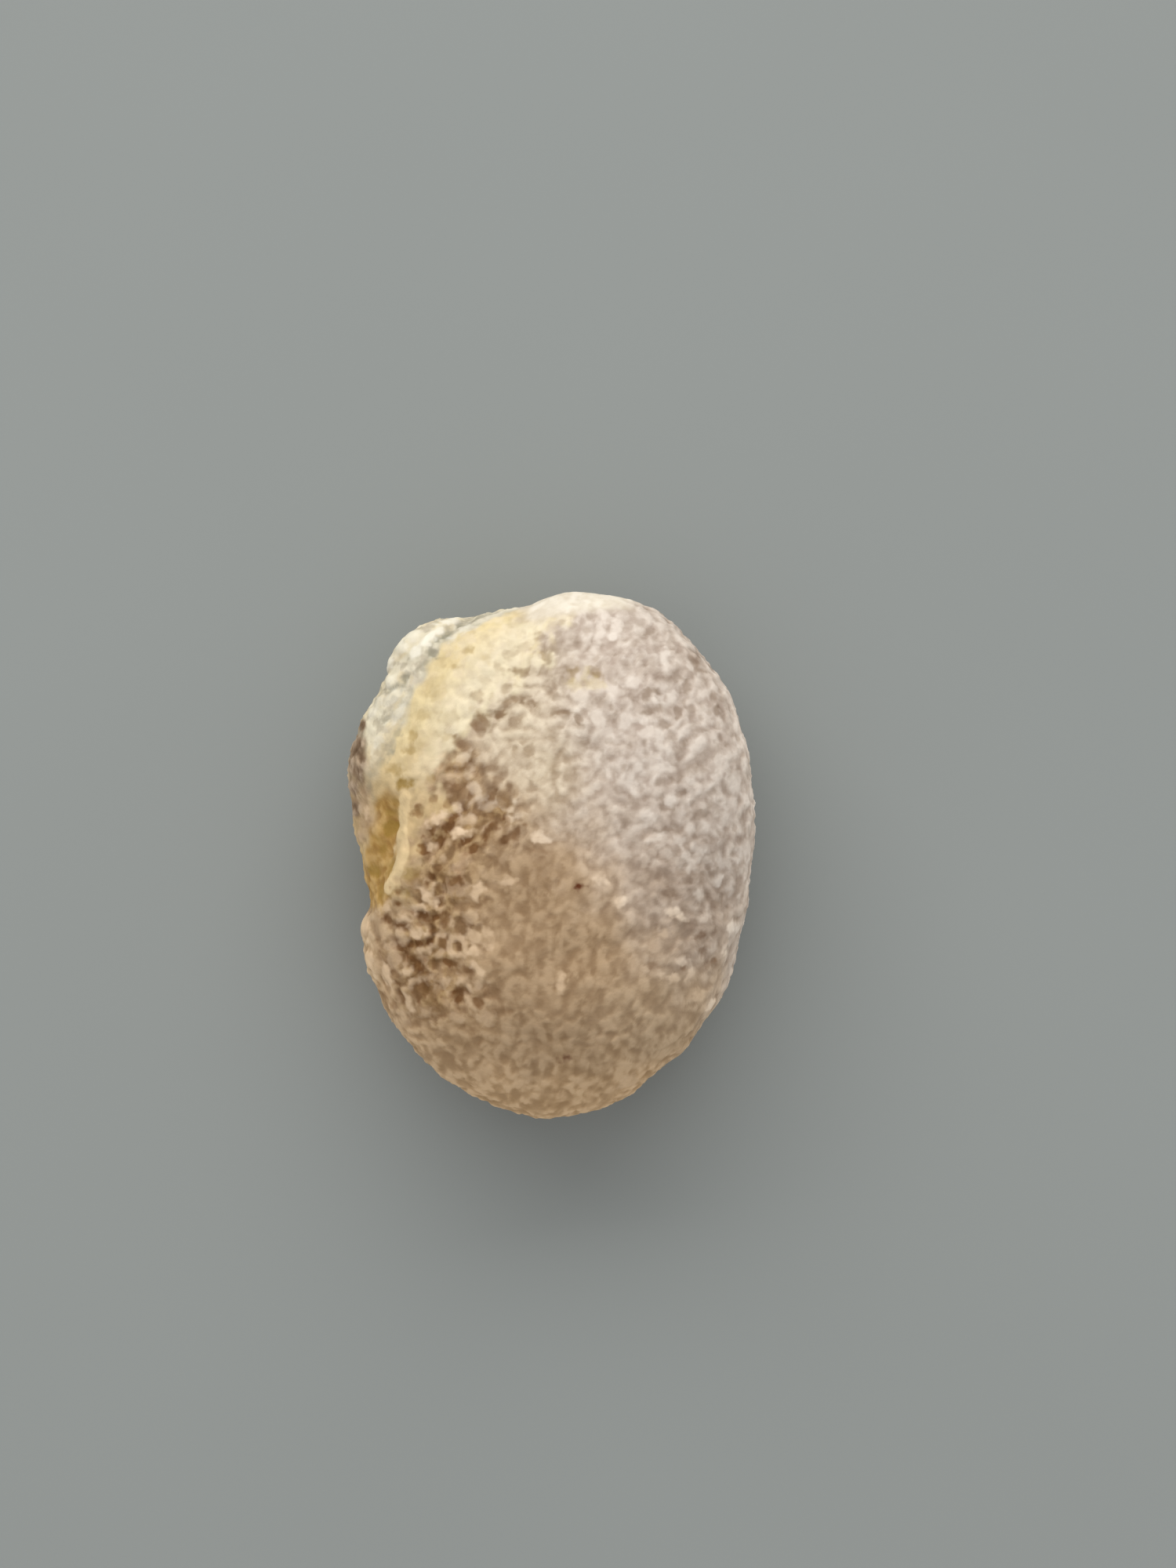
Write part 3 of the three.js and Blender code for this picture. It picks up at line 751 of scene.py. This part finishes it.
@dataclass(frozen=True)
class AgateFinish:
    """The stone's colours: matt and dusty, deep between its grains and pale on them.

    The regions are laid on in their order. Each kind of mark has its colour and how strongly it covers.
    """

    plain: Shades = Shades(srgb(163, 136, 106), srgb(182, 155, 123), srgb(201, 174, 141))
    regions: dict[str, Shades] = field(
        default_factory=lambda: {
            # Partly the stone's pinkish-grey bloom and partly painted light: paler and cooler on the side
            # toward the lamp.
            "bloom_and_painted_light": Shades(srgb(181, 163, 148), srgb(199, 183, 168), srgb(217, 202, 187)),
            "haze": Shades(srgb(187, 166, 137), srgb(208, 190, 163), srgb(226, 209, 182)),
            "tan": Shades(srgb(150, 121, 89), srgb(165, 136, 103), srgb(182, 153, 119)),
            # Painted shade over the stone's mauve tint: darker on the lower right, where the light falls off.
            "mauve_and_painted_shade": Shades(srgb(150, 130, 112), srgb(168, 148, 130), srgb(188, 168, 150)),
            # Painted light: the near end and the low left flanks made paler and warmer, where the lamp leaves
            # them in shade.
            "painted_light_foot": Shades(srgb(172, 139, 101), srgb(194, 160, 120), srgb(217, 184, 144)),
            "stain": Shades(srgb(118, 86, 49), srgb(146, 113, 72), srgb(184, 151, 106)),
            "lip": Shades(srgb(196, 166, 127), srgb(218, 189, 150), srgb(236, 210, 174)),
            "cap": Shades(srgb(222, 209, 187), srgb(231, 220, 200), srgb(239, 229, 211)),
        }
    )
    cream: Colour = srgb(234, 219, 186)
    warm_cream: Colour = srgb(229, 211, 171)
    stained_cream: Colour = srgb(208, 184, 134)
    yellow: Colour = srgb(226, 206, 160)
    seam: Colour = srgb(205, 196, 172)
    rim: Colour = srgb(222, 213, 189)
    pale_rim: Colour = srgb(229, 218, 190)
    stained_rim: Colour = srgb(184, 173, 149)
    # The rind's darker, browner tone towards the near end.
    near_end_tone: Colour = srgb(204, 176, 130)
    ochre: Shades = Shades(srgb(160, 121, 64), srgb(179, 141, 81), srgb(198, 162, 103))
    vein: Colour = srgb(224, 197, 150)
    crust: Shades = Shades(srgb(112, 89, 66), srgb(149, 126, 102), srgb(186, 163, 138))
    warm_pit: Colour = (0.46, 0.34, 0.24)
    cool_pit: Colour = (0.46, 0.38, 0.31)
    warm_fleck: Colour = srgb(234, 204, 168)
    cool_fleck: Colour = srgb(240, 228, 214)
    hazy_fleck: Colour = srgb(238, 222, 192)
    fleck_strength: float = 0.74
    rind_marks: dict[str, tuple[Colour, float]] = field(
        default_factory=lambda: {
            "grey": (srgb(144, 138, 118), 0.85),
            "gold": (srgb(150, 118, 48), 0.55),
            "white": (srgb(240, 233, 214), 0.85),
        }
    )
    last_marks: dict[str, tuple[Colour, float]] = field(
        default_factory=lambda: {"yellow": (srgb(238, 220, 170), 0.5), "speck": (srgb(96, 52, 28), 0.9)}
    )
    powder_size: float = 0.2
    fray_size: float = 0.36
    blotch_size: float = 2.6
    mottle_size: float = 1.3
    rim_mottle_size: float = 0.6
    layers_start: float = 6.0
    layers_thickness: float = 4.2
    layer_shares: tuple[float, ...] = (0.0, 0.25, 0.45, 0.57, 0.65, 0.74, 1.0)
    bump_height: float = 0.04

    def material(self) -> bpy.types.Material:
        """Builds the skin's material.

        Returns:
            The material.
        """
        sheet = StoneSheet(self)
        for name, shades in self.regions.items():
            sheet.lay(sheet.measure(name), shades)
        self._lay_rind(sheet)
        self._lay_marks(sheet)
        blotch = sheet.cloud(self.blotch_size, 2.0, (7.0, 3.0, 1.0))
        # Random blotches of the stone's tone, with painted light that makes the flanks facing the near end
        # and the right paler.
        worn = 0.96 + blotch * 0.08 + sheet.measure("worn") * 0.3
        bump = {"Strength": 0.5, "Distance": self.bump_height * MM, "Height": sheet.powder}
        sheet.skin("Base Color", sheet.tint(sheet.colour, worn))
        sheet.skin("Roughness", 0.84 - sheet.grain * 0.12)
        sheet.skin("Normal", sheet.add("ShaderNodeBump", {}, bump, output="Normal"))
        sheet.skin("Specular IOR Level", 0.12)
        return sheet.material

    def _layers(self, sheet: StoneSheet) -> Wire:
        """Colours the rind's layers, from the cream one out to the white rim.

        Args:
            sheet: the skin's sheet.

        Returns:
            The colour.
        """
        creams = (self.cream, self.warm_cream, self.yellow, self.yellow)
        stops = list(zip(self.layer_shares, (*creams, self.seam, self.rim, self.pale_rim)))
        depth = sheet.measure("depth")
        share = (depth - self.layers_start) * (1 / self.layers_thickness)
        layers = sheet.add("ShaderNodeValToRGB", {"stops": stops}, {"Fac": share})
        mottle = sheet.step(sheet.cloud(self.mottle_size, 3.0, (4.0, 1.0, 9.0)), 0.5, 0.62)
        layers = sheet.blend(mottle * 0.4, layers, self.stained_cream)
        mottle = sheet.step(sheet.cloud(self.rim_mottle_size, 2.0, (2.0, 8.0, 3.0)), 0.47, 0.64)
        layers = sheet.blend(mottle * sheet.step(depth, 8.4, 9.0) * 0.8, layers, self.stained_rim)
        # The rind turns darker and browner towards the near end.
        layers = sheet.blend(sheet.measure("near_end_tone"), layers, self.near_end_tone)
        return sheet.tint(layers, 0.89 + sheet.grain * 0.18)

    def _lay_rind(self, sheet: StoneSheet) -> None:
        """Lays the rind over the body: its layers, its marks, the crust on its edge and the vein.

        Args:
            sheet: the skin's sheet.
        """
        sheet.lay(sheet.measure("rind"), self._layers(sheet))
        sheet.lay(sheet.measure("ochre"), self.ochre)
        for name, (paint, strength) in self.rind_marks.items():
            sheet.lay(sheet.mark(name) * strength, paint)
        sheet.lay(sheet.measure("crust"), self.crust)
        vein = sheet.step(sheet.measure("vein") + sheet.frayed * 0.1, -0.38, -0.23)
        sheet.lay(vein, sheet.tint(self.vein, 0.9 + sheet.grain * 0.2))

    def _lay_marks(self, sheet: StoneSheet) -> None:
        """Colours the chips, the pits and the flecks.

        Args:
            sheet: the skin's sheet.
        """
        bloom_and_painted_light = sheet.measure("bloom_and_painted_light")
        # Flecks and pits turn cooler where the bloom lies, so they carry its painted light too.
        fleck = sheet.blend(bloom_and_painted_light, self.warm_fleck, self.cool_fleck)
        fleck = sheet.blend(sheet.measure("haze"), fleck, self.hazy_fleck)
        shade = sheet.blend(bloom_and_painted_light, self.warm_pit, self.cool_pit)
        sheet.lay(sheet.mark("chip"), fleck)
        for name in ("pore", "pit"):
            sheet.lay(sheet.mark(name), shade, "MULTIPLY")
        sheet.lay(sheet.mark("fleck") * self.fleck_strength, fleck)
        for name, (paint, strength) in self.last_marks.items():
            sheet.lay(sheet.mark(name) * strength, paint)


@dataclass(frozen=True)
class Vein:
    """The hard cream vein beside the ochre layer, as seen from above; its lower end is a bulb."""

    path: tuple[Pair, ...] = (
        (-6.85, 2.8), (-6.85, 1.5), (-6.95, 0.6), (-7.05, -0.2), (-7.3, -0.9), (-7.5, -1.4)
    )
    bulb: Pair = (-7.4, -1.25)
    bulb_radius: float = 0.12
    lowest: float = 4.0
    absent: float = -9.0

    def depth_inside(self, skin: Skin) -> np.ndarray:
        """How far each point lies inside the vein.

        Args:
            skin: the skin.

        Returns:
            Zero on the vein's middle line and less beside it, in millimetres.
        """
        bulb = np.linalg.norm(skin.bent[:, :2] - self.bulb, axis=1) - self.bulb_radius
        distance = np.minimum(along_path(skin.bent, self.path), bulb)
        return np.where(skin.points[:, 2] > self.lowest, -distance, self.absent)


@dataclass(frozen=True)
class SkinMap:
    """Where the broad regions of the skin lie.

    Lengths are in millimetres. An edge is where a mask is 0 and where it is 1. The patches hold how strong
    each patchy region is, and the x, y and spread of its patches.
    """

    drift: Pair = (4.1, 6.2)
    layer_way: Place = (-0.905, 0.41, -0.12)
    layer_curl: float = 0.54
    curl_start: float = 9.4
    rind_edge: Pair = (4.9, 6.2)
    rind_end: Pair = (-2.8, -1.4)
    far_spread: float = 1.9
    far_edge: Pair = (4.8, 10.4)
    near_spread: float = 0.4
    near_edge: Pair = (-3.6, -2.2)
    ochre_edge: Pair = (0.25, 0.8)
    crust_edge: Pair = (0.3, 0.8)
    cap_start: float = 11.2
    cap_slant: float = 0.13
    cap_edge: Pair = (-0.3, 0.35)
    cap_left: Pair = (-1.9, -0.7)
    cap_right: Pair = (-5.4, -3.0)
    sun_way: Place = (0.62, 0.72, 0.0)
    bloom_and_painted_light_edge: Pair = (-2.3, 5.3)
    bloom_and_painted_light_drop: float = 6.0
    near_end_tone_edge: Pair = (-6.5, -1.8)
    painted_light_foot_edge: Pair = (8.0, 11.5)
    vein: Vein = Vein()
    patches: dict[str, tuple[float, list[Place]]] = field(
        default_factory=lambda: {
            "haze": (0.9, [(-1.8, 8.4, 2.4), (-1.6, 5.6, 2.2), (-0.4, 3.8, 1.8)]),
            "pitted": (1.0, [
                (-2.6, 6.5, 1.2), (-1.0, 7.1, 1.2), (0.7, 6.6, 0.9), (-1.2, 8.6, 0.9), (-0.4, 9.8, 0.7)
            ]),
            "tan": (0.95, [
                (-1.8, -5.2, 3.2), (-1.6, -2.0, 2.2), (-0.4, -1.0, 2.2), (0.0, -8.4, 2.6), (1.6, -4.4, 2.0),
                (-3.4, -8.6, 2.2), (-8.7, 1.6, 0.9)
            ]),
            # Painted shade: the lower right made darker, where the light falls off.
            "mauve_and_painted_shade": (0.8, [(5.2, -0.4, 2.2), (6.4, -2.8, 2.1), (8.4, -1.8, 0.8), (7.0, 9.0, 0.8)]),
            "stain": (0.92, [
                (-4.2, 4.2, 1.3), (-4.2, 1.6, 1.9), (-5.2, -1.4, 1.8), (-5.9, -4.2, 2.0), (-5.6, -6.2, 1.5),
                (-2.3, 2.3, 1.1)
            ]),
            "lip": (0.9, [(-8.8, -3.2, 0.42), (-8.7, -4.1, 0.36), (-8.7, -5.0, 0.4), (-8.3, -5.8, 0.32)]),
            # Painted light: patches on the low left flanks made paler and warmer.
            "painted_light_low_flanks": (0.6, [(-4.4, -8.2, 2.2), (-7.9, -6.6, 1.2), (-6.2, -8.6, 1.3), (-8.1, -4.8, 0.8)]),
            "bruise": (1.0, [(-8.9, 2.4, 0.45), (-8.65, 1.55, 0.6), (-8.8, 3.0, 0.35), (-9.0, 0.9, 0.3)]),
            "ochre": (1.0, [
                (-7.6, 2.3, 0.7), (-7.7, 1.3, 0.8), (-7.9, 0.3, 0.9), (-8.1, -0.8, 0.9), (-8.2, -1.9, 0.8)
            ]),
            "crust": (1.0, [
                (-9.1, 6.2, 0.45), (-9.2, 5.3, 0.65), (-9.2, 4.3, 0.7), (-9.5, 3.3, 0.5), (-9.45, 2.2, 0.5)
            ]),
        }
    )

    def masks(self, skin: Skin) -> dict[str, np.ndarray]:
        """Works out every region.

        Args:
            skin: the skin.

        Returns:
            Masks by name, from 0 to 1; "depth" and "vein" hold lengths.
        """
        y, wander, ragged = skin.points[:, 1], skin.wander, skin.ragged
        masks = {name: share * patch(skin.points, places) for name, (share, places) in self.patches.items()}
        masks["ochre"] = soft_step(masks["ochre"] + 0.12 * ragged, *self.ochre_edge)
        masks["crust"] = soft_step(masks["crust"] + 0.15 * ragged, *self.crust_edge)
        # Painted light: paler and warmer towards the near end and on the low left flanks.
        masks["painted_light_foot"] = np.maximum(soft_step(-y + 0.5 * wander, *self.painted_light_foot_edge), masks.pop("painted_light_low_flanks"))
        masks["near_end_tone"] = soft_step(-y + 0.3 * wander, *self.near_end_tone_edge)
        masks["bloom_and_painted_light"] = self._bloom_and_painted_light(skin)
        masks["cap"] = self._cap(skin)
        way = np.array(self.layer_way) / np.linalg.norm(self.layer_way)
        depth = skin.from_waist @ way + 0.1 * wander + 0.17 * ragged
        spread = self.far_spread * soft_step(y, *self.far_edge)
        spread += self.near_spread * soft_step(-y, *self.near_edge)
        rind = soft_step(depth + 0.45 * ragged + 0.25 * skin.frayed + spread, *self.rind_edge)
        rind *= soft_step(y, *self.rind_end) * (1 - masks.pop("bruise")) * (1 - masks["cap"])
        masks["rind"] = rind
        masks["depth"] = depth + self.layer_curl * np.maximum(y - self.curl_start, 0) ** 2
        masks["vein"] = self.vein.depth_inside(skin)
        masks["worn"] = self._worn(skin)
        return masks

    def _bloom_and_painted_light(self, skin: Skin) -> np.ndarray:
        """The pale bloom on the far right side, which reaches further round low down. It is partly the
        stone's own pinkish-grey tone and partly painted light: the side toward the lamp is made paler and
        cooler.

        Args:
            skin: the skin.

        Returns:
            The mask.
        """
        z = skin.points[:, 2]
        drift = solid_noise(skin.points, *self.drift) * soft_step(-z, -7.5, -4.0)
        sunward = skin.points @ self.sun_way + 0.7 * skin.wander + 0.3 * skin.ragged + 2.4 * drift
        return soft_step(sunward + 0.6 * np.maximum(self.bloom_and_painted_light_drop - z, 0), *self.bloom_and_painted_light_edge)

    def _cap(self, skin: Skin) -> np.ndarray:
        """The smooth cream cap at the far end.

        Args:
            skin: the skin.

        Returns:
            The mask.
        """
        x, y = skin.points[:, 0], skin.points[:, 1]
        past_start = y - self.cap_start - self.cap_slant * x + 0.1 * skin.ragged
        sides = soft_step(x, *self.cap_left) * soft_step(-x, *self.cap_right)
        return soft_step(past_start, *self.cap_edge) * sides

    def _worn(self, skin: Skin) -> np.ndarray:
        """Painted light: the flanks that face the near end and the right, made a little paler as if lit."""
        facing = 0.8 * np.maximum(skin.normals[:, 0], 0) - skin.normals[:, 1]
        return soft_step(-skin.normals[:, 2], -0.9, -0.2) * soft_step(facing, -0.4, 0.6)


@dataclass
class AgateStone:
    """The whole stone: one skin of fine mesh on the solid's form, with its pits, grains and layers.

    Lengths are in millimetres.
    """

    columns: int = 160
    rows: int = 72
    heart: Place = (0.0, 0.0, 5.6)
    reach: Place = (9.6, 12.5, 4.7)
    smoothing_rounds: int = 8
    bends: tuple[Pair, ...] = ((1.3, 0.07), (0.4, 0.04))
    waist: float = 4.68
    flatten: float = 0.62
    skin_map: SkinMap = field(default_factory=SkinMap)
    marks: list[Mark] = field(default_factory=lambda: BODY_MARKS + RIND_MARKS + EDGE_MARKS)
    grain: Grain = Grain()
    grain_height: float = 0.013
    rim_roughness: float = 0.006
    rim_edge: Pair = (8.8, 9.4)
    flank_roughness: float = 0.02
    flank_edge: Pair = (-0.6, -0.1)
    chips: Scatter = Scatter(0.54, (0.1, 0.22), 2.2, 15, 0.5)
    chip_height: float = 0.05
    pores: Scatter = Scatter(0.52, (0.1, 0.2), 2.4, 25, 0.5)
    pore_depth: float = 0.09
    vein_height: float = 0.06
    vein_edge: Pair = (-0.4, -0.15)
    finish: AgateFinish = AgateFinish()

    def build(self, solid: bpy.types.Object) -> bpy.types.Object:
        """Makes the stone and dresses it.

        Args:
            solid: the plain solid that it stands for.

        Returns:
            The stone.
        """
        mesh = self._smooth_skin(solid)
        for name, values in self._weather(mesh).items():
            attribute = mesh.attributes.new(name, "FLOAT", "POINT")
            attribute.data.foreach_set("value", values.astype(np.float32))
        mesh.shade_smooth()
        mesh.materials.append(self.finish.material())
        return put("agate_stone", mesh)

    def _smooth_skin(self, solid: bpy.types.Object) -> bpy.types.Mesh:
        """Lays an even grid of small faces over the solid, and eases its flat facets.

        Args:
            solid: the plain solid.

        Returns:
            The mesh, in metres.
        """
        form = BVHTree.FromObject(solid, bpy.context.evaluated_depsgraph_get())
        heart = Vector(self.heart) * MM
        ball = bmesh.new()
        sheets = [(Matrix.Rotation(angle, 4, "X"), self.columns) for angle in (0.0, math.pi)]
        upright = Matrix.Rotation(math.pi / 2, 4, "X")
        for side in range(4):
            sheets.append((Matrix.Rotation(side * math.pi / 2, 4, "Z") @ upright, self.rows))
        for turn, rows in sheets:
            place = turn @ Matrix.Translation((0.0, 0.0, 1.0))
            bmesh.ops.create_grid(ball, x_segments=self.columns, y_segments=rows, size=1.0, matrix=place)
        bmesh.ops.remove_doubles(ball, verts=ball.verts[:], dist=1e-4)
        for vert in ball.verts:
            way = Vector(math.tan(v * math.pi / 4) * r for v, r in zip(vert.co, self.reach))
            vert.co = form.ray_cast(heart, way.normalized())[0]
        for _ in range(self.smoothing_rounds):
            bmesh.ops.smooth_vert(
                ball, verts=ball.verts[:], factor=0.5, use_axis_x=True, use_axis_y=True, use_axis_z=True
            )
        mesh = bpy.data.meshes.new("agate_stone")
        ball.to_mesh(mesh)
        ball.free()
        return mesh

    def _weather(self, mesh: bpy.types.Mesh) -> dict[str, np.ndarray]:
        """Raises the grains and sinks the pits, and works out where each colour lies.

        Args:
            mesh: the smooth skin, which is changed.

        Returns:
            The masks, by name.
        """
        skin = Skin(mesh, self.bends, self.waist, self.flatten)
        skin.masks = self.skin_map.masks(skin)
        self._press_marks(skin)
        self._raise_grain(skin)
        self._strew_spots(skin)
        skin.relief += self.vein_height * soft_step(skin.masks["vein"], *self.vein_edge)
        points = skin.points + skin.normals * skin.relief[:, None]
        points[:, 2] = np.maximum(points[:, 2], 0.0)
        mesh.vertices.foreach_set("co", (points * MM).astype(np.float32).ravel())
        mesh.update()
        return skin.masks

    def _press_marks(self, skin: Skin) -> None:
        """Sinks and raises the marks that stand out one by one.

        Args:
            skin: the skin, whose masks, marked share and relief are changed.
        """
        for kind in MarkKind:
            skin.masks[kind.mask] = np.zeros(len(skin.points))
            skin.masks[kind.mask + "_strength"] = np.zeros(len(skin.points))
        for mark in self.marks:
            index, inside = mark.cover(skin)
            deepest, strength = skin.masks[mark.kind.mask], skin.masks[mark.kind.mask + "_strength"]
            strength[index] = np.where(inside > deepest[index], mark.strength, strength[index])
            deepest[index] = np.maximum(deepest[index], inside)
            cover = soft_step(inside, 0.0, 1.0)
            skin.marked[index] = np.maximum(skin.marked[index], cover)
            skin.relief[index] += mark.kind.height * mark.strength * cover

    def _raise_grain(self, skin: Skin) -> None:
        """Raises the fine grain, lower under marks and on the cap, and rougher on the flanks and the rim.

        Args:
            skin: the skin, whose masks and relief are changed.
        """
        grain = self.grain.field(skin) * (1 - 0.6 * skin.marked) * (1 - 0.2 * skin.masks["bloom_and_painted_light"])
        skin.masks["grain"] = 0.5 + 0.16 * grain
        height = self.grain_height + self.rim_roughness * soft_step(skin.masks["depth"], *self.rim_edge)
        height += self.flank_roughness * soft_step(-skin.normals[:, 2], *self.flank_edge)
        skin.relief += height * (1 - 0.75 * skin.masks["cap"]) * grain

    def _strew_spots(self, skin: Skin) -> None:
        """Strews pores and chips, weaker under marks, on the cap and on the rind.

        Args:
            skin: the skin, whose masks and relief are changed.
        """
        masks, bloom_and_painted_light = skin.masks, skin.masks["bloom_and_painted_light"]
        busy = 0.1 + 0.6 * np.maximum(masks["stain"], 0.4 * masks["pitted"])
        bare = (1 - 0.8 * skin.marked) * (1 - 0.8 * masks["cap"]) * (1 - 0.6 * masks["rind"])
        for name, scatter, share, height in (
            ("pore", self.pores, busy + 0.1 * masks["haze"] + 0.42 * bloom_and_painted_light, -self.pore_depth),
            ("chip", self.chips, busy + 0.48 * bloom_and_painted_light, self.chip_height),
        ):
            masks[name], strength = scatter.strew(skin)
            masks[name + "_strength"] = strength * share * bare
            skin.relief += height * soft_step(masks[name], 0.0, 1.0) * masks[name + "_strength"]


# The studio


@dataclass(frozen=True)
class BoardFinish:
    """A plain pale grey surface with the faintest unevenness."""

    pale: Colour = srgb(147, 151, 148)

    def material(self) -> bpy.types.Material:
        """Builds the floor's material.

        Returns:
            The material.
        """
        sheet = ShaderSheet("pale_floor")
        tone = 0.97 + sheet.cloud(30.0, 2.0) * 0.06
        sheet.skin("Base Color", sheet.tint(self.pale, tone))
        sheet.skin("Roughness", 0.8)
        return sheet.material


@dataclass
class Studio:
    """The floor, the soft window and the even sky around the stone, sized in metres."""

    floor_side: float = 3.0
    sky: Colour = (0.97, 0.98, 1.0)
    sky_strength: float = 0.64
    window_place: Place = (-0.06, 0.42, 0.28)
    window_size: Pair = (0.9, 0.3)
    window_power: float = 2.5
    window_colour: Colour = (1.0, 0.99, 0.97)
    finish: BoardFinish = BoardFinish()

    def build(self) -> bpy.types.Object:
        """Hangs the window, evens the sky and lays the floor.

        Returns:
            The floor.
        """
        self._window()
        world = bpy.data.worlds.new("even_sky")
        world.use_nodes = True
        background = world.node_tree.nodes["Background"]
        background.inputs["Color"].default_value = (*self.sky, 1.0)
        background.inputs["Strength"].default_value = self.sky_strength
        bpy.context.scene.world = world
        bpy.context.scene.view_settings.view_transform = "Standard"
        return self._floor()

    def _window(self) -> None:
        """Hangs one wide soft light, turned to the stone."""
        light: bpy.types.AreaLight = bpy.data.lights.new("window", "AREA")
        light.shape = "RECTANGLE"
        light.size, light.size_y = self.window_size
        light.energy = self.window_power
        light.color = self.window_colour
        lamp = put("window", light)
        lamp.location = self.window_place
        lamp.rotation_euler = (-Vector(self.window_place)).to_track_quat("-Z", "Y").to_euler()

    def _floor(self) -> bpy.types.Object:
        """Makes the floor's plane.

        Returns:
            The floor.
        """
        sheet = bmesh.new()
        bmesh.ops.create_grid(sheet, x_segments=1, y_segments=1, size=self.floor_side / 2)
        mesh = bpy.data.meshes.new("floor")
        sheet.to_mesh(mesh)
        sheet.free()
        mesh.materials.append(self.finish.material())
        return put("floor", mesh)


@dataclass(frozen=True)
class PhotoCamera:
    """A camera that looks straight down, framed as the photograph is. Lengths are in millimetres."""

    distance: float = 250.0
    centre: Pair = (1.75, 3.39)
    waist: float = 4.7
    frame_height: float = 74.4
    film: float = 36.0

    def build(self) -> bpy.types.Object:
        """Sets the camera up and makes it the scene's own.

        Returns:
            The camera.
        """
        lens = bpy.data.cameras.new("photo_camera")
        lens.sensor_width = self.film
        lens.lens = self.film * self.distance / self.frame_height
        lens.clip_start = 0.01
        camera = put("photo_camera", lens)
        camera.location = Vector((*self.centre, self.waist + self.distance)) * MM
        bpy.context.scene.camera = camera
        return camera


def main() -> None:
    """Builds the scene: the camera, the stone and the studio."""
    logging.basicConfig(level=logging.INFO, format="%(name)s: %(message)s")
    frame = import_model()
    PhotoCamera().build()

    stone = AgateStone().build(frame["nodes"]["agate"])
    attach(stone, "root")
    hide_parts("agate")
    log.info("%s: %d faces", stone.name, len(stone.data.polygons))

    floor = Studio().build()
    log.info("%s laid", floor.name)


if __name__ == "__main__":
    main()
